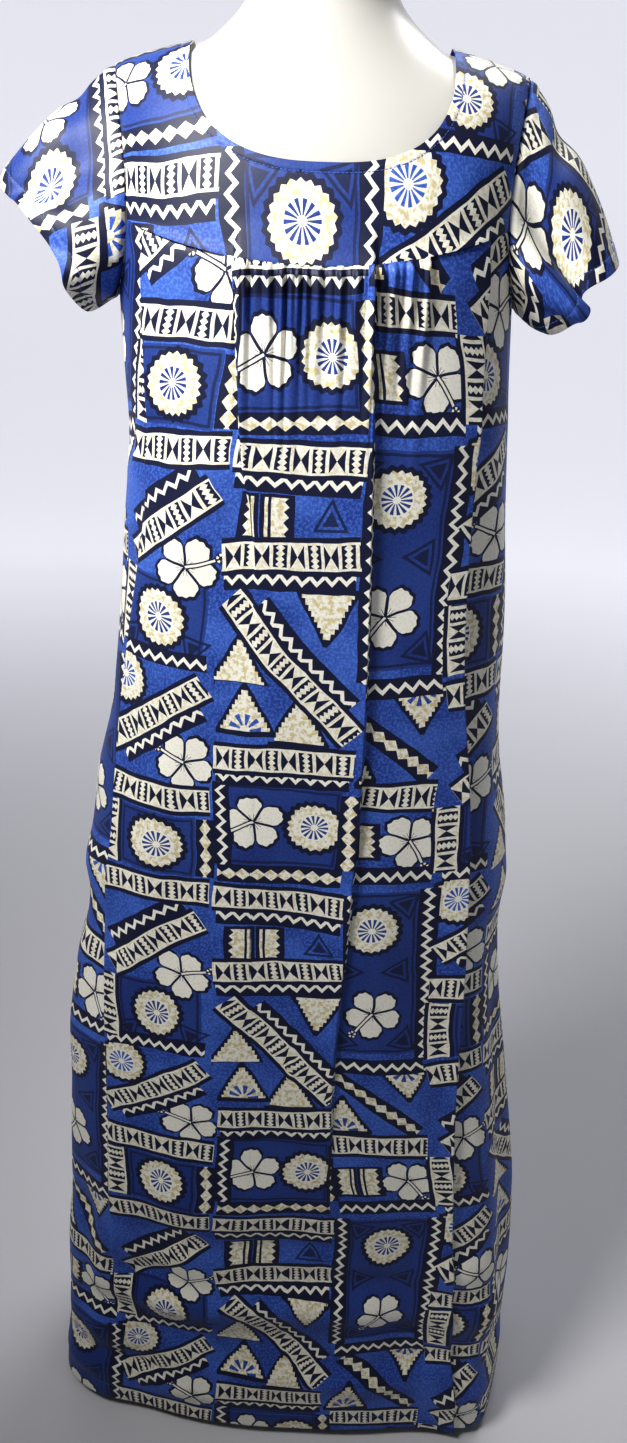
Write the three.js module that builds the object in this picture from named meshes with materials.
// A floor-length muumuu dress on a limbless dress form, in millimetres.
// +Z is up, the garment's front faces -Y and the origin is the centre of the form's base, on the floor.
import * as THREE from 'three';

// Cloth, seams and the clearances between the pieces
const WALL = 1.6;
const SEAM_GAP = 0.3;
const SLEEVE_GAP = 0.9;
const FORM_CLEARANCE = { front: 1.0, back: 3.0 };

// Levels of the garment
const HEM_Z = 15;
const BUST_Z = 1265;
const NECK_HALF = 100;
const NECK_SHIFT = 5;
const FRONT_NECK_DROP = 84;
const BACK_NECK_DROP = 30;
const NECK_SQUARENESS = 2.7;
const SHOULDER_TOP_Z = 1462;
const SHOULDER_FALL = 0.00105;
const CLIMB = 226;
const CLIMB_BOX = { height: 180, depth: 110 };
const CLIMB_STEPS = 120;
const YOKE_SEAM_Z = 1298;
const YOKE_SEAM_RISE = 0.0012;
const YOKE_CORNER_X = 149;

// A level ring is a superellipse, and so is the turn from the bust up over the shoulder
const RING_SQUARENESS = 2.4;
const HEM_SQUARENESS = 3;
const SHOULDER_SQUARENESS = 2.6;

// Outline of the dress: half widths to the viewer's left and right, and depths to the front and back
const OUTLINE = [
  { z: 15, left: 269, right: 266, front: 124, back: 168 },
  { z: 60, left: 266, right: 267, front: 124, back: 166 },
  { z: 120, left: 260, right: 264, front: 123, back: 163 },
  { z: 220, left: 258, right: 262, front: 122, back: 158 },
  { z: 324, left: 250, right: 254, front: 121, back: 153 },
  { z: 407, left: 246, right: 242, front: 120, back: 149 },
  { z: 466, left: 242, right: 233, front: 119, back: 146 },
  { z: 537, left: 240, right: 223, front: 119, back: 143 },
  { z: 577, left: 235, right: 217, front: 118, back: 141 },
  { z: 643, left: 224, right: 210, front: 118, back: 138 },
  { z: 674, left: 215, right: 208, front: 118, back: 136 },
  { z: 731, left: 210, right: 209, front: 117, back: 133 },
  { z: 793, left: 206, right: 204, front: 117, back: 130 },
  { z: 827, left: 201, right: 198, front: 117, back: 128 },
  { z: 859, left: 193, right: 192, front: 117, back: 126 },
  { z: 901, left: 183, right: 187, front: 117, back: 123 },
  { z: 982, left: 174, right: 183, front: 117, back: 119 },
  { z: 1041, left: 168, right: 179, front: 117, back: 115 },
  { z: 1087, left: 164, right: 175, front: 118, back: 112 },
  { z: 1156, left: 158, right: 170, front: 119, back: 107 },
  { z: 1212, left: 160, right: 166, front: 119, back: 103 },
  { z: 1265, left: 162, right: 163, front: 118, back: 100 },
];

// Creases down the front: the line's place across the dress and how far the cloth stands out at it.
// steep is the side on which the cloth drops back at once: 1 to the viewer's right, -1 to the left.
const CREASES = [
  {
    steep: -1,
    path: [
      { z: 15, x: -196, lift: 0 },
      { z: 560, x: -189, lift: 2 },
      { z: 722, x: -181, lift: 5 },
      { z: 925, x: -162, lift: 4 },
      { z: 1100, x: -138, lift: 1.5 },
      { z: 1190, x: -131, lift: 3 },
      { z: 1290, x: -131, lift: 3.5 },
    ],
  },
  {
    steep: -1,
    path: [
      { z: 15, x: -40, lift: 0 },
      { z: 1060, x: -40, lift: 0 },
      { z: 1108, x: -43, lift: 2.5 },
      { z: 1150, x: -51, lift: 4 },
      { z: 1298, x: -57, lift: 4.5 },
    ],
  },
  {
    steep: 1,
    path: [
      { z: 15, x: 46, lift: 0 },
      { z: 330, x: 42, lift: 0 },
      { z: 440, x: 41, lift: 2.5 },
      { z: 570, x: 41, lift: 4 },
      { z: 750, x: 49, lift: 4.5 },
      { z: 880, x: 53, lift: 5 },
      { z: 1075, x: 51, lift: 5 },
      { z: 1298, x: 42, lift: 4.5 },
    ],
  },
  {
    steep: 1,
    path: [
      { z: 15, x: 196, lift: 5 },
      { z: 440, x: 168, lift: 5 },
      { z: 800, x: 154, lift: 6 },
      { z: 1000, x: 134, lift: 5 },
      { z: 1290, x: 131, lift: 3.5 },
    ],
  },
];
const CREASE_RUN = 6;
const CREASE_DECAY = 45;
// Above the bust the creases keep their shape of this height and die out over this stretch of the climb
const CREASE_END = { above: 30, from: 20, run: 40 };

// Flutes of the skirt: the angle from centre front, half the breadth, the lift at the hem and the top end
const FLUTES = [
  { turn: 48, half: 14, lift: 23, top: 900 },
  { turn: -30, half: 16, lift: -11, top: 800 },
  { turn: 8, half: 14, lift: 3, top: 620 },
  { turn: -74, half: 13, lift: 4, top: 760 },
  { turn: 108, half: 15, lift: 9, top: 860 },
  { turn: 136, half: 15, lift: -9, top: 820 },
  { turn: 162, half: 14, lift: 13, top: 980 },
  { turn: -170, half: 12, lift: -6, top: 840 },
  { turn: -146, half: 15, lift: 14, top: 940 },
  { turn: -117, half: 14, lift: -7, top: 800 },
];
const FLUTE_GROWTH = 1.3;

// Gathers of the lower front, hung from the yoke seam
const GATHERS = { count: 27, from: -71, to: 89, lift: 1.8, fadeZ: 1195 };

// Armhole from the underarm to the shoulder: height, and how far in from the side it is cut
const ARMHOLE = [
  { z: 1267, cut: 0 },
  { z: 1272, cut: 2.5 },
  { z: 1284, cut: 8 },
  { z: 1300, cut: 12 },
  { z: 1325, cut: 14 },
  { z: 1350, cut: 13 },
  { z: 1375, cut: 10.5 },
  { z: 1400, cut: 6.5 },
  { z: 1420, cut: 2.5 },
  { z: 1433, cut: 0.3 },
];

// Sleeve hems, from the top (round 0) by the front and the underarm (round 0.5) to the back again.
// out is the distance from the middle of the dress, puff is how far the cloth stands off a straight line,
// and dent is the depth of the dip across the sleeve just past the shoulder.
const SLEEVE_LEFT = {
  side: -1,
  hem: [
    { round: 0, out: 257, y: 0, z: 1353, puff: 6, dent: 4 },
    { round: 0.09, out: 252, y: -26, z: 1343, puff: 8, dent: 3 },
    { round: 0.17, out: 238, y: -42, z: 1334, puff: -4, dent: 0 },
    { round: 0.26, out: 216, y: -60, z: 1313, puff: 7, dent: 0 },
    { round: 0.34, out: 198, y: -72, z: 1289, puff: 9, dent: 0 },
    { round: 0.41, out: 197, y: -56, z: 1270, puff: 5, dent: 0 },
    { round: 0.46, out: 187, y: -30, z: 1253, puff: 2, dent: 0 },
    { round: 0.5, out: 176, y: -4, z: 1258, puff: 0, dent: 0 },
    { round: 0.56, out: 186, y: 28, z: 1261, puff: 3, dent: 0 },
    { round: 0.66, out: 203, y: 56, z: 1278, puff: 8, dent: 0 },
    { round: 0.76, out: 221, y: 62, z: 1307, puff: 5, dent: 0 },
    { round: 0.85, out: 238, y: 44, z: 1331, puff: -3, dent: 0 },
    { round: 0.93, out: 251, y: 25, z: 1347, puff: 7, dent: 3 },
    { round: 1, out: 257, y: 0, z: 1353, puff: 6, dent: 4 },
  ],
};
const SLEEVE_RIGHT = {
  side: 1,
  hem: [
    { round: 0, out: 248, y: 0, z: 1306, puff: 8, dent: 6 },
    { round: 0.09, out: 243, y: -28, z: 1300, puff: 8, dent: 4 },
    { round: 0.17, out: 229, y: -48, z: 1291, puff: 3, dent: 0 },
    { round: 0.23, out: 213, y: -58, z: 1282, puff: -5, dent: 0 },
    { round: 0.3, out: 216, y: -66, z: 1268, puff: 7, dent: 0 },
    { round: 0.37, out: 208, y: -62, z: 1256, puff: 8, dent: 0 },
    { round: 0.44, out: 190, y: -38, z: 1250, puff: 4, dent: 0 },
    { round: 0.5, out: 174, y: -4, z: 1258, puff: 0, dent: 0 },
    { round: 0.56, out: 184, y: 28, z: 1258, puff: 3, dent: 0 },
    { round: 0.66, out: 203, y: 56, z: 1264, puff: 8, dent: 0 },
    { round: 0.76, out: 217, y: 62, z: 1278, puff: 5, dent: 0 },
    { round: 0.85, out: 229, y: 46, z: 1291, puff: -3, dent: 0 },
    { round: 0.93, out: 243, y: 26, z: 1302, puff: 8, dent: 4 },
    { round: 1, out: 248, y: 0, z: 1306, puff: 8, dent: 6 },
  ],
};
const DENT_PLACE = 0.3;
const DENT_HALF = 0.1;
const SLEEVE_MIDDLE = { out: 165, z: 1345 };

// The dress form below the bust line, and its neck
const FORM = [
  { z: 784, half: 132, front: 74, back: 84 },
  { z: 800, half: 146, front: 86, back: 97 },
  { z: 880, half: 154, front: 96, back: 105 },
  { z: 980, half: 136, front: 90, back: 94 },
  { z: 1080, half: 113, front: 82, back: 76 },
  { z: 1170, half: 130, front: 100, back: 82 },
  { z: 1230, half: 144, front: 110, back: 88 },
];
const FORM_FLOOR_Z = 780;
const FORM_FLOOR_SCALE = 0.94;
// How far the form stays in from the cloth at the bust, beside the clearance: at the sides, back and front
const FORM_SIDE_EASE = 11;
const FORM_BACK_EASE = 5;
const FORM_FRONT_EASE = 3;
const FORM_FACING_REACH = 0.8;
const NECK_RADIUS = 55;
const NECK_DEPTH = 54;
const NECK_BASE_Z = 1494;
const NECK_BACK_SHIFT = 2;
// How strongly the neck's curve leaves the shoulder and comes up into the neck, as shares of its span
const NECK_LEAVE = 0.9;
const NECK_ARRIVE = 0.7;
const NECK_CAP = [
  { z: 1532, scale: 1 },
  { z: 1541, scale: 0.94 },
  { z: 1545, scale: 0.8 },
];
const POLE_RADIUS = 15;
const POLE_SIDES = 32;
const BASE_HALF = { x: 170, y: 104 };
const BASE_THICKNESS = 10;
const BASE_ROUND = 2.5;
const TOUCH = 0.3;

const RAD = Math.PI / 180;

function mix(a, b, t) {
  return a + (b - a) * t;
}

function ease(t) {
  const c = Math.min(1, Math.max(0, t));
  return c * c * (3 - 2 * c);
}

// Smooth curve through one column of a table, read at a place in the column named by
function read(rows, column, at, by = 'z') {
  const last = rows.length - 1;
  if (at <= rows[0][by]) return rows[0][column];
  if (at >= rows[last][by]) return rows[last][column];
  let i = 0;
  while (rows[i + 1][by] < at) i += 1;
  const slope = (j) => {
    const a = rows[Math.max(0, j - 1)];
    const b = rows[Math.min(last, j + 1)];
    return (b[column] - a[column]) / (b[by] - a[by]);
  };
  const span = rows[i + 1][by] - rows[i][by];
  const t = (at - rows[i][by]) / span;
  const t2 = t * t;
  const t3 = t2 * t;
  return (2 * t3 - 3 * t2 + 1) * rows[i][column] + (t3 - 2 * t2 + t) * span * slope(i)
    + (3 * t2 - 2 * t3) * rows[i + 1][column] + (t3 - t2) * span * slope(i + 1);
}

function power(value, exponent) {
  return Math.sign(value) * Math.abs(value) ** exponent;
}

// The climb from the bust over the shoulder as a quarter turn: up and out against the share of its length
const QUARTER = (() => {
  const rows = [];
  let length = 0;
  for (let i = 0; i <= CLIMB_STEPS; i += 1) {
    const angle = (i / CLIMB_STEPS) * 90 * RAD;
    const up = Math.sin(angle) ** (2 / SHOULDER_SQUARENESS);
    const out = Math.max(0, Math.cos(angle));
    if (i > 0) {
      const before = rows[i - 1];
      length += Math.hypot((up - before.up) * CLIMB_BOX.height, (out - before.out) * CLIMB_BOX.depth);
    }
    rows.push({ up, out, length });
  }
  for (const row of rows) row.share = row.length / length;
  return rows;
})();

function quarter(column, at, by) {
  let i = 0;
  while (i < QUARTER.length - 2 && QUARTER[i + 1][by] < at) i += 1;
  const a = QUARTER[i];
  const b = QUARTER[i + 1];
  return mix(a[column], b[column], Math.min(1, Math.max(0, (at - a[by]) / (b[by] - a[by]))));
}

function shoulderZ(x) {
  return SHOULDER_TOP_Z - SHOULDER_FALL * x * x;
}

function squareness(z) {
  return mix(HEM_SQUARENESS, RING_SQUARENESS, ease((z - HEM_Z) / (BUST_Z - HEM_Z)));
}

function halfWidth(turn, z) {
  return read(OUTLINE, Math.sin(turn) < 0 ? 'left' : 'right', z);
}

// A point of the dress without its folds. turn is the angle from centre front, positive to the viewer's
// right. rise is the height over the bust line, and past it the length of cloth climbed over the shoulder.
function smooth(turn, rise) {
  const z = Math.min(BUST_Z, BUST_Z + rise);
  const bend = 2 / squareness(z);
  const x = halfWidth(turn, z) * power(Math.sin(turn), bend);
  const depth = read(OUTLINE, Math.cos(turn) > 0 ? 'front' : 'back', z);
  const y = -depth * power(Math.cos(turn), bend);
  if (rise <= 0) return new THREE.Vector3(x, y, z);
  const share = Math.min(1, rise / CLIMB);
  const climbed = mix(BUST_Z, shoulderZ(x), quarter('up', share, 'share'));
  return new THREE.Vector3(x, y * quarter('out', share, 'share'), climbed);
}

// Direction out of the smooth form, from two short steps over it
const TURN_STEP = 0.6 * RAD;
const RISE_STEP = 1.5;

function outward(turn, rise) {
  const above = Math.min(rise + RISE_STEP, CLIMB);
  const around = smooth(turn + TURN_STEP, rise).sub(smooth(turn - TURN_STEP, rise));
  const up = smooth(turn, above).sub(smooth(turn, above - 2 * RISE_STEP));
  return around.cross(up).normalize();
}

// Turn and rise of a place on the front or back that is named by its x and z
function turnOf(x, z) {
  const level = Math.min(z, BUST_Z);
  const half = read(OUTLINE, x < 0 ? 'left' : 'right', level);
  return Math.sign(x) * Math.asin(Math.min(1, Math.abs(x) / half) ** (squareness(level) / 2));
}

function riseOf(x, z) {
  if (z <= BUST_Z) return z - BUST_Z;
  return CLIMB * quarter('share', Math.min(1, (z - BUST_Z) / (shoulderZ(x) - BUST_Z)), 'up');
}

function onBack(turn) {
  return Math.PI - turn;
}

// How far the cloth stands off the smooth form: creases, flutes, and the gathers if they are asked for
function creaseLift(turn, z) {
  if (Math.cos(turn) < 0) return 0;
  const here = smooth(turn, z - BUST_Z);
  let lift = 0;
  for (const crease of CREASES) {
    const height = read(crease.path, 'lift', z);
    const lineTurn = turnOf(read(crease.path, 'x', z), z);
    const line = smooth(lineTurn, z - BUST_Z);
    const past = Math.sign(turn - lineTurn) * crease.steep * Math.hypot(here.x - line.x, here.y - line.y);
    lift += height * (past > 0 ? 1 - ease(past / CREASE_RUN) : Math.exp(past / CREASE_DECAY));
  }
  return lift;
}

function fluteLift(turn, z) {
  let lift = 0;
  for (const flute of FLUTES) {
    let off = turn / RAD - flute.turn;
    off -= 360 * Math.round(off / 360);
    const bell = Math.exp(-((off / flute.half) ** 2));
    const down = Math.max(0, (flute.top - z) / (flute.top - HEM_Z));
    lift += flute.lift * bell * down ** FLUTE_GROWTH;
  }
  return lift;
}

function gatherLift(x, z) {
  const across = (x - GATHERS.from) / (GATHERS.to - GATHERS.from);
  if (across < 0 || across > 1) return 0;
  const fade = ease((z - GATHERS.fadeZ) / (YOKE_SEAM_Z - GATHERS.fadeZ));
  return GATHERS.lift * fade * (0.5 + 0.5 * Math.cos(across * GATHERS.count * 2 * Math.PI));
}

function foldLift(turn, rise) {
  const z = BUST_Z + rise;
  const fade = 1 - ease((rise - CREASE_END.from) / CREASE_END.run);
  return fade * creaseLift(turn, Math.min(z, BUST_Z + CREASE_END.above)) + fluteLift(turn, z);
}

// Both faces of the wall at one place
function clothPoint(turn, rise, gathered) {
  const base = smooth(turn, rise);
  const normal = outward(turn, rise);
  const lift = foldLift(turn, rise);
  const ripple = gathered ? gatherLift(base.x, base.z) : 0;
  return {
    outer: base.clone().addScaledVector(normal, lift + ripple),
    inner: base.clone().addScaledVector(normal, lift - WALL),
  };
}

// A closed solid from rows of paired points. Rows may differ in length: at holds each point's share across.
function wallSolid(rows, closed = false) {
  const position = [];
  const index = [];
  const outer = [];
  const inner = [];
  for (const row of rows) {
    outer.push(position.length / 3);
    for (const point of row.points) position.push(...point.outer.toArray());
    inner.push(position.length / 3);
    for (const point of row.points) position.push(...point.inner.toArray());
  }
  const triangle = (a, b, c, flip) => index.push(...(flip ? [a, c, b] : [a, b, c]));
  const strip = (startA, rowA, startB, rowB, flip) => {
    const countA = rowA.points.length;
    const countB = rowB.points.length;
    const lastA = closed ? countA : countA - 1;
    const lastB = closed ? countB : countB - 1;
    const shareA = (i) => (i >= countA ? 1 : rowA.at[i]);
    const shareB = (i) => (i >= countB ? 1 : rowB.at[i]);
    let i = 0;
    let j = 0;
    while (i < lastA || j < lastB) {
      const a = startA + (i % countA);
      const b = startB + (j % countB);
      const stepA = i < lastA && (j >= lastB || shareA(i + 1) <= shareB(j + 1) + 1e-9);
      if (stepA) {
        triangle(a, startA + ((i + 1) % countA), b, flip);
        i += 1;
      } else {
        triangle(a, startB + ((j + 1) % countB), b, flip);
        j += 1;
      }
    }
  };
  for (let r = 0; r + 1 < rows.length; r += 1) {
    strip(outer[r], rows[r], outer[r + 1], rows[r + 1], false);
    strip(inner[r], rows[r], inner[r + 1], rows[r + 1], true);
  }
  const rim = (r, flip) => {
    const count = rows[r].points.length;
    for (let i = 0; i < (closed ? count : count - 1); i += 1) {
      const k = (i + 1) % count;
      triangle(outer[r] + i, inner[r] + i, outer[r] + k, flip);
      triangle(outer[r] + k, inner[r] + i, inner[r] + k, flip);
    }
  };
  rim(0, false);
  rim(rows.length - 1, true);
  if (!closed) {
    for (let r = 0; r + 1 < rows.length; r += 1) {
      const lastHere = rows[r].points.length - 1;
      const lastNext = rows[r + 1].points.length - 1;
      triangle(outer[r], outer[r + 1], inner[r], false);
      triangle(outer[r + 1], inner[r + 1], inner[r], false);
      triangle(outer[r] + lastHere, inner[r] + lastHere, outer[r + 1] + lastNext, false);
      triangle(outer[r + 1] + lastNext, inner[r] + lastHere, inner[r + 1] + lastNext, false);
    }
  }
  const geometry = new THREE.BufferGeometry();
  geometry.setAttribute('position', new THREE.Float32BufferAttribute(position, 3));
  geometry.setIndex(index);
  geometry.computeVertexNormals();
  return geometry;
}

// Armhole: k runs from 0 at the underarm to 1 at the shoulder. The answer is a turn and rise on the front.
function armhole(k, side) {
  const rows = ARMHOLE.map((row, i) => ({ ...row, k: i / (ARMHOLE.length - 1) }));
  const z = read(rows, 'z', k, 'k');
  const half = read(OUTLINE, side < 0 ? 'left' : 'right', BUST_Z);
  const x = side * (half - read(rows, 'cut', k, 'k'));
  return { turn: turnOf(x, z), rise: riseOf(x, z), z };
}

// Place on the armhole at a height, found by halving
const HALVINGS = 40;

function armholeAtZ(z, side) {
  let low = 0;
  let high = 1;
  for (let i = 0; i < HALVINGS; i += 1) {
    const k = (low + high) / 2;
    if (armhole(k, side).z < z) low = k;
    else high = k;
  }
  return low;
}

function seamZ(x) {
  return YOKE_SEAM_Z + YOKE_SEAM_RISE * x * x;
}

function neckline(k, drop) {
  const angle = k * 90 * RAD;
  const x = NECK_SHIFT * Math.cos(angle) + NECK_HALF * power(Math.sin(angle), 2 / NECK_SQUARENESS);
  const z = shoulderZ(NECK_HALF) - drop * power(Math.cos(angle), 2 / NECK_SQUARENESS);
  return { turn: turnOf(x, z), rise: Math.min(riseOf(x, z), CLIMB - SEAM_GAP) };
}

// Turn at which a level ring comes to the side seam, half a gap short of it
function seamTurn(z) {
  const level = Math.min(z, BUST_Z);
  const depth = read(OUTLINE, 'front', level);
  return Math.acos((SEAM_GAP / 2 / depth) ** (squareness(level) / 2));
}

// The armhole corner of the yoke seam, on each side
const CORNER_Z = seamZ(YOKE_CORNER_X);
const CORNER = {
  left: armholeAtZ(CORNER_Z, -1),
  right: armholeAtZ(CORNER_Z, 1),
};

// Side edge of a panel at a share s of the way from below the underarm up to the armhole place kEnd
const JOIN_Z = 1196;
const UNDERARM_SHARE = 0.5;

function edgeAt(s, kEnd, side) {
  if (s < UNDERARM_SHARE) {
    const z = mix(JOIN_Z, ARMHOLE[0].z - SEAM_GAP, s / UNDERARM_SHARE);
    return { turn: side * seamTurn(z), rise: Math.min(z - BUST_Z, 1) };
  }
  const place = armhole(mix(0, kEnd, (s - UNDERARM_SHARE) / (1 - UNDERARM_SHARE)), side);
  return { turn: side * Math.min(Math.abs(place.turn), seamTurn(BUST_Z)), rise: place.rise };
}

function shares(count) {
  return Array.from({ length: count + 1 }, (_, i) => i / count);
}

// Columns of the lower front: they follow the creases, with one narrow column at each steep side
const BAY_COLUMNS = [6, 7, 7, 7, 6];
const LINE_STEP = 0.01;

function frontColumns(z) {
  const stops = [-seamTurn(z)];
  for (const crease of CREASES) {
    const x = read(crease.path, 'x', z);
    const lineTurn = turnOf(x, z);
    const line = smooth(lineTurn, z - BUST_Z);
    const rate = smooth(lineTurn + LINE_STEP, z - BUST_Z).distanceTo(line) / LINE_STEP;
    const footTurn = lineTurn + (crease.steep * CREASE_RUN) / rate;
    stops.push(...(crease.steep > 0 ? [lineTurn, footTurn] : [footTurn, lineTurn]));
  }
  stops.push(seamTurn(z));
  const turns = [stops[0]];
  for (let i = 0; i + 1 < stops.length; i += 1) {
    const columns = i % 2 === 0 ? BAY_COLUMNS[i / 2] : 1;
    for (let c = 1; c <= columns; c += 1) turns.push(mix(stops[i], stops[i + 1], c / columns));
  }
  return turns;
}

const SKIRT_LEVELS = [
  15, 65, 120, 180, 240, 300, 360, 420, 480, 535, 585, 630, 672, 715, 765, 815, 865, 920, 975, 1030, 1085,
  1135, 1172,
];
const GATHER_SHARES = [0, 0.2, 0.4, 0.5, 0.58, 0.68, 0.78, 0.89, 1];
const GATHER_SIDE_COLUMNS = 5;
// Share of a panel's width over which its rows bend from the side edge's heights to those across the middle
const FRONT_EDGE_SHARE = 0.12;
const BACK_EDGE_SHARE = 0.15;

function frontPanel() {
  const rows = [];
  for (const z of SKIRT_LEVELS) {
    const turns = frontColumns(z);
    const at = turns.map((turn) => (turn - turns[0]) / (turns[turns.length - 1] - turns[0]));
    rows.push({ at, points: turns.map((turn) => clothPoint(turn, z - BUST_Z, true)) });
  }
  // Above them the columns are the gathers' ridges and hollows, and plain ones out to each side
  const cornerTurn = { left: armhole(CORNER.left, -1).turn, right: armhole(CORNER.right, 1).turn };
  const fromTurn = turnOf(GATHERS.from, YOKE_SEAM_Z);
  const toTurn = turnOf(GATHERS.to, YOKE_SEAM_Z);
  const topTurns = [];
  for (let i = 0; i < GATHER_SIDE_COLUMNS; i += 1) {
    topTurns.push(mix(cornerTurn.left, fromTurn, i / GATHER_SIDE_COLUMNS));
  }
  for (let i = 0; i <= GATHERS.count * 2; i += 1) {
    const x = mix(GATHERS.from, GATHERS.to, i / (GATHERS.count * 2));
    topTurns.push(turnOf(x, YOKE_SEAM_Z));
  }
  for (let i = 1; i <= GATHER_SIDE_COLUMNS; i += 1) {
    topTurns.push(mix(toTurn, cornerTurn.right, i / GATHER_SIDE_COLUMNS));
  }
  const at = topTurns.map((turn) => (turn - cornerTurn.left) / (cornerTurn.right - cornerTurn.left));
  for (const s of GATHER_SHARES) {
    const left = edgeAt(s, CORNER.left, -1);
    const right = edgeAt(s, CORNER.right, 1);
    const points = at.map((share, i) => {
      const spread = mix(left.turn, right.turn, share);
      const turn = mix(spread, topTurns[i], i > 0 && i < at.length - 1 ? s : 0);
      const x = smooth(turn, 0).x;
      const top = riseOf(x, seamZ(x)) - SEAM_GAP / 2;
      const edgeRise = mix(left.rise, right.rise, share);
      const fromEdge = Math.min(share, 1 - share);
      const inner = mix(JOIN_Z - BUST_Z, top, s);
      const rise = mix(edgeRise, inner, ease(fromEdge / FRONT_EDGE_SHARE));
      return clothPoint(turn, s === 1 ? top : rise, true);
    });
    rows.push({ at, points });
  }
  return wallSolid(rows);
}

const YOKE_COLUMNS = { armhole: 8, seam: 24 };
const YOKE_ROWS = 8;
const YOKE_CORNER_SHARE = 0.27;

function frontYoke() {
  const outerLoop = [];
  const innerLoop = [];
  const push = (place, share) => {
    outerLoop.push(place);
    innerLoop.push(neckline(share * 2 - 1, FRONT_NECK_DROP));
  };
  for (let i = 0; i < YOKE_COLUMNS.armhole; i += 1) {
    const t = i / YOKE_COLUMNS.armhole;
    push(armhole(mix(1, CORNER.left, t), -1), YOKE_CORNER_SHARE * t);
  }
  const leftX = smooth(armhole(CORNER.left, -1).turn, 0).x;
  const rightX = smooth(armhole(CORNER.right, 1).turn, 0).x;
  for (const t of shares(YOKE_COLUMNS.seam)) {
    const x = mix(leftX, rightX, t);
    const place = { turn: turnOf(x, seamZ(x)), rise: riseOf(x, seamZ(x)) + SEAM_GAP / 2 };
    push(place, mix(YOKE_CORNER_SHARE, 1 - YOKE_CORNER_SHARE, t));
  }
  for (let i = 1; i <= YOKE_COLUMNS.armhole; i += 1) {
    const t = i / YOKE_COLUMNS.armhole;
    push(armhole(mix(CORNER.right, 1, t), 1), mix(1 - YOKE_CORNER_SHARE, 1, t));
  }
  const at = outerLoop.map((_, i) => i / (outerLoop.length - 1));
  const rows = shares(YOKE_ROWS).map((t) => ({
    at,
    points: outerLoop.map((place, i) => {
      const rise = Math.min(mix(place.rise, innerLoop[i].rise, t), CLIMB - SEAM_GAP);
      return clothPoint(mix(place.turn, innerLoop[i].turn, t), rise, false);
    }),
  }));
  return wallSolid(rows);
}

const BACK_COLUMNS = { shoulder: 5, neck: 18 };
const BACK_LEVELS = [
  15, 65, 120, 180, 240, 300, 365, 430, 495, 555, 615, 675, 735, 800, 865, 935, 1005, 1075, 1140,
];
const BACK_SHARES = [0, 0.25, 0.5, 0.56, 0.62, 0.68, 0.74, 0.8, 0.86, 0.91, 0.96, 1];
// The back's columns turn from the armhole to the neck: late at the edge, sooner past a share of the width
const BACK_TURN = { share: 0.2, edge: 8, middle: 1.5 };

function backPanel() {
  // Across the top: the left shoulder seam, the neck and the right shoulder seam
  const top = [];
  const shoulder = { left: armhole(1, -1), right: armhole(1, 1) };
  const neckTurn = { left: turnOf(-NECK_HALF, BUST_Z), right: turnOf(NECK_HALF, BUST_Z) };
  for (let i = 0; i < BACK_COLUMNS.shoulder; i += 1) {
    const t = i / BACK_COLUMNS.shoulder;
    top.push({ turn: mix(shoulder.left.turn, neckTurn.left, t), rise: CLIMB - SEAM_GAP });
  }
  for (const t of shares(BACK_COLUMNS.neck)) top.push(neckline(t * 2 - 1, BACK_NECK_DROP));
  for (let i = 1; i <= BACK_COLUMNS.shoulder; i += 1) {
    const t = i / BACK_COLUMNS.shoulder;
    top.push({ turn: mix(neckTurn.right, shoulder.right.turn, t), rise: CLIMB - SEAM_GAP });
  }
  const at = top.map((_, i) => i / (top.length - 1));
  const rows = BACK_LEVELS.map((z) => ({
    at,
    points: at.map((share) => clothPoint(onBack(mix(-seamTurn(z), seamTurn(z), share)), z - BUST_Z, false)),
  }));
  for (const s of BACK_SHARES) {
    const left = edgeAt(s, 1, -1);
    const right = edgeAt(s, 1, 1);
    const upper = Math.max(0, (s - UNDERARM_SHARE) / (1 - UNDERARM_SHARE));
    const points = at.map((share, i) => {
      const edgeRise = mix(left.rise, right.rise, share);
      const fromEdge = Math.min(share, 1 - share);
      const late = mix(BACK_TURN.edge, BACK_TURN.middle, Math.min(1, fromEdge / BACK_TURN.share));
      const turn = mix(mix(left.turn, right.turn, share), top[i].turn, fromEdge > 0 ? upper ** late : 0);
      const rise = mix(edgeRise, mix(JOIN_Z - BUST_Z, top[i].rise, s), ease(fromEdge / BACK_EDGE_SHARE));
      const place = s === 1 ? top[i] : { turn, rise: Math.min(rise, CLIMB - SEAM_GAP) };
      return clothPoint(onBack(place.turn), place.rise, false);
    });
    rows.push({ at, points });
  }
  return wallSolid(rows.reverse());
}

// Sleeve: round the armhole and along to the hem
function sleeveSmooth(sleeve, round, along) {
  const turnRound = round - Math.floor(round);
  const k = turnRound <= 0.5 ? 1 - 2 * turnRound : 2 * turnRound - 1;
  const place = armhole(k, sleeve.side);
  const turn = turnRound <= 0.5 ? place.turn : onBack(place.turn);
  const start = clothPoint(turn, Math.min(place.rise, CLIMB - SEAM_GAP), false).outer;
  const end = new THREE.Vector3(
    sleeve.side * read(sleeve.hem, 'out', turnRound, 'round'),
    read(sleeve.hem, 'y', turnRound, 'round'),
    read(sleeve.hem, 'z', turnRound, 'round'),
  );
  const run = end.clone().sub(start);
  const share = mix(SLEEVE_GAP / run.length(), 1, along);
  const middle = new THREE.Vector3(sleeve.side * SLEEVE_MIDDLE.out, 0, SLEEVE_MIDDLE.z);
  const away = start.clone().lerp(end, 0.5).sub(middle);
  away.addScaledVector(run, -away.dot(run) / run.lengthSq()).normalize();
  const puff = read(sleeve.hem, 'puff', turnRound, 'round') * 4 * share * (1 - share);
  const dent = Math.exp(-(((share - DENT_PLACE) / DENT_HALF) ** 2));
  const lift = puff - dent * read(sleeve.hem, 'dent', turnRound, 'round');
  return start.addScaledVector(run, share).addScaledVector(away, lift);
}

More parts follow.
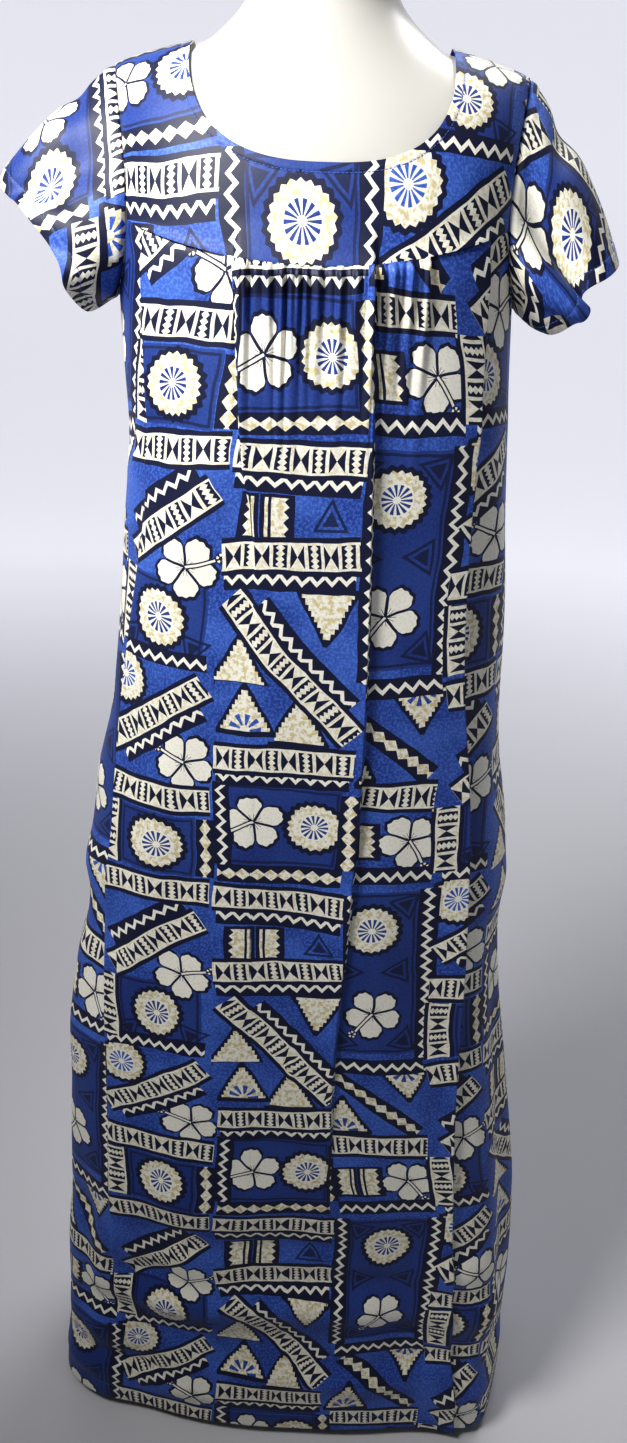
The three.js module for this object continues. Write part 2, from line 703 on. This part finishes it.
const SLEEVE_COLUMNS = 32;
const SLEEVE_ROWS = 8;
const SLEEVE_STEP = { round: 0.012, along: 0.05 };

function sleeveWall(sleeve) {
  const rounds = Array.from({ length: SLEEVE_COLUMNS }, (_, i) => i / SLEEVE_COLUMNS);
  const rows = shares(SLEEVE_ROWS).map((along) => ({
    at: rounds,
    points: rounds.map((round) => {
      const outer = sleeveSmooth(sleeve, round, along);
      const around = sleeveSmooth(sleeve, round + SLEEVE_STEP.round, along);
      around.sub(sleeveSmooth(sleeve, round - SLEEVE_STEP.round, along));
      const down = sleeveSmooth(sleeve, round, Math.min(1, along + SLEEVE_STEP.along));
      down.sub(sleeveSmooth(sleeve, round, Math.max(0, along - SLEEVE_STEP.along)));
      const normal = around.cross(down).normalize().multiplyScalar(sleeve.side);
      return { outer, inner: outer.clone().addScaledVector(normal, -WALL) };
    }),
  }));
  if (sleeve.side < 0) rows.reverse();
  return wallSolid(rows, true);
}

// A closed solid from level rings, capped by a point at each end
function ringSolid(rings, bottom, top) {
  const position = [...bottom.toArray()];
  const index = [];
  const count = rings[0].length;
  for (const ring of rings) for (const point of ring) position.push(...point.toArray());
  position.push(...top.toArray());
  const lastIndex = position.length / 3 - 1;
  for (let i = 0; i < count; i += 1) {
    const k = (i + 1) % count;
    index.push(0, 1 + k, 1 + i);
    for (let r = 0; r + 1 < rings.length; r += 1) {
      const a = 1 + r * count;
      const b = a + count;
      index.push(a + i, a + k, b + i, a + k, b + k, b + i);
    }
    const a = 1 + (rings.length - 1) * count;
    index.push(a + i, a + k, lastIndex);
  }
  const geometry = new THREE.BufferGeometry();
  geometry.setAttribute('position', new THREE.Float32BufferAttribute(position, 3));
  geometry.setIndex(index);
  geometry.computeVertexNormals();
  return geometry;
}

const FORM_COLUMNS = 20;
const FORM_LEVELS = [784, 800, 845, 900, 960, 1020, 1080, 1140, 1190, 1232];
const FORM_CHEST_SHARES = [0.1, 0.26, 0.42, 0.55, 0.68, 0.8, 0.91, 1];
const FORM_NECK_SHARES = [0.16, 0.32, 0.48, 0.64, 0.82, 1];
const FORM_CORNER = 0.62;

function formEase(turn, share) {
  const side = Math.sin(turn) ** 2 * FORM_SIDE_EASE;
  const facing = Math.cos(turn) > 0 ? FORM_FRONT_EASE : FORM_BACK_EASE;
  const clearance = mix(FORM_CLEARANCE.back, FORM_CLEARANCE.front, (1 + Math.cos(turn)) / 2);
  const inward = facing * Math.cos(turn) ** 2 * (1 - ease(share / FORM_FACING_REACH));
  return clearance + side * (1 - ease(share)) + inward;
}

// The form's skin in column k, -1 to 1 across the front or back, at a share of the way from the bust to the
// neckline. The outermost columns climb the side first and then follow the shoulder in to the neck.
function formSkin(k, share, back) {
  const end = neckline(k, back ? BACK_NECK_DROP : FRONT_NECK_DROP);
  const sideways = Math.abs(k) ** 4;
  const climb = Math.min(1, share / mix(1, FORM_CORNER, sideways));
  const inward = Math.max(0, (share - FORM_CORNER * sideways) / (1 - FORM_CORNER * sideways));
  const front = mix(k * 90 * RAD, end.turn, inward);
  const turn = back ? onBack(front) : front;
  const rise = mix(0, Math.abs(k) === 1 ? CLIMB : end.rise, climb);
  const normal = outward(turn, rise);
  const depth = WALL + formEase(turn, share);
  return { point: smooth(turn, rise).addScaledVector(normal, -depth), normal };
}

function formTorso() {
  const columns = [];
  for (let i = 0; i < FORM_COLUMNS; i += 1) columns.push({ k: (i / FORM_COLUMNS) * 2 - 1, back: false });
  for (let i = 0; i < FORM_COLUMNS; i += 1) columns.push({ k: 1 - (i / FORM_COLUMNS) * 2, back: true });
  const turnAt = (column) => (column.back ? onBack(column.k * 90 * RAD) : column.k * 90 * RAD);
  const level = (z, scale) => columns.map((column) => {
    const turn = turnAt(column);
    const depth = read(FORM, column.back ? 'back' : 'front', z);
    return new THREE.Vector3(
      scale * read(FORM, 'half', z) * power(Math.sin(turn), 2 / RING_SQUARENESS),
      -scale * depth * power(Math.cos(turn), 2 / RING_SQUARENESS),
      z,
    );
  });
  const rings = [level(FORM_FLOOR_Z, FORM_FLOOR_SCALE), ...FORM_LEVELS.map((z) => level(z, 1))];
  for (const share of FORM_CHEST_SHARES) {
    rings.push(columns.map((column) => formSkin(column.k, share, column.back).point));
  }
  const neckPoint = (turn, scale, z) => new THREE.Vector3(
    NECK_RADIUS * scale * Math.sin(turn),
    NECK_BACK_SHIFT - NECK_DEPTH * scale * Math.cos(turn),
    z,
  );
  for (const t of FORM_NECK_SHARES) {
    rings.push(columns.map((column) => {
      const { point, normal } = formSkin(column.k, 1, column.back);
      const end = neckPoint(turnAt(column), 1, NECK_BASE_Z);
      const leave = end.clone().sub(point);
      const reach = leave.length();
      leave.addScaledVector(normal, -leave.dot(normal)).setLength(reach * NECK_LEAVE);
      const arrive = new THREE.Vector3(0, 0, reach * NECK_ARRIVE);
      const t2 = t * t;
      const t3 = t2 * t;
      return point.multiplyScalar(2 * t3 - 3 * t2 + 1).addScaledVector(leave, t3 - 2 * t2 + t)
        .addScaledVector(end, 3 * t2 - 2 * t3).addScaledVector(arrive, t3 - t2);
    }));
  }
  for (const { z, scale } of NECK_CAP) {
    rings.push(columns.map((column) => neckPoint(turnAt(column), scale, z)));
  }
  const floor = new THREE.Vector3(0, 0, FORM_FLOOR_Z);
  const crown = new THREE.Vector3(0, NECK_BACK_SHIFT, NECK_CAP[NECK_CAP.length - 1].z);
  return ringSolid(rings, floor, crown);
}

function formPole() {
  const length = FORM_FLOOR_Z - BASE_THICKNESS - 2 * TOUCH;
  const geometry = new THREE.CylinderGeometry(POLE_RADIUS, POLE_RADIUS, length, POLE_SIDES);
  geometry.rotateX(90 * RAD);
  geometry.translate(0, 0, BASE_THICKNESS + TOUCH + length / 2);
  return geometry;
}

function formBase() {
  const outline = new THREE.Shape();
  outline.absellipse(0, 0, BASE_HALF.x - BASE_ROUND, BASE_HALF.y - BASE_ROUND, 0, 2 * Math.PI);
  const geometry = new THREE.ExtrudeGeometry(outline, {
    depth: BASE_THICKNESS - 2 * BASE_ROUND,
    bevelEnabled: true,
    bevelSize: BASE_ROUND,
    bevelThickness: BASE_ROUND,
    bevelSegments: 2,
    curveSegments: 14,
  });
  geometry.translate(0, 0, BASE_ROUND);
  return geometry;
}

function finish(colour, roughness, metalness = 0) {
  return new THREE.MeshStandardMaterial({ color: new THREE.Color(colour), roughness, metalness });
}

const cloth = finish('#2c55b4', 0.85);
const gloss = finish('#f1efe9', 0.2);
const steel = finish('#b9bcc0', 0.3, 1);

const group = new THREE.Group();
function add(name, geometry, material) {
  const mesh = new THREE.Mesh(geometry, material);
  mesh.name = name;
  group.add(mesh);
}

add('front_yoke', frontYoke(), cloth);
add('front_panel', frontPanel(), cloth);
add('back_panel', backPanel(), cloth);
add('sleeve_left', sleeveWall(SLEEVE_LEFT), cloth);
add('sleeve_right', sleeveWall(SLEEVE_RIGHT), cloth);
add('form_torso', formTorso(), gloss);
add('form_pole', formPole(), steel);
add('form_base', formBase(), gloss);

export default group;
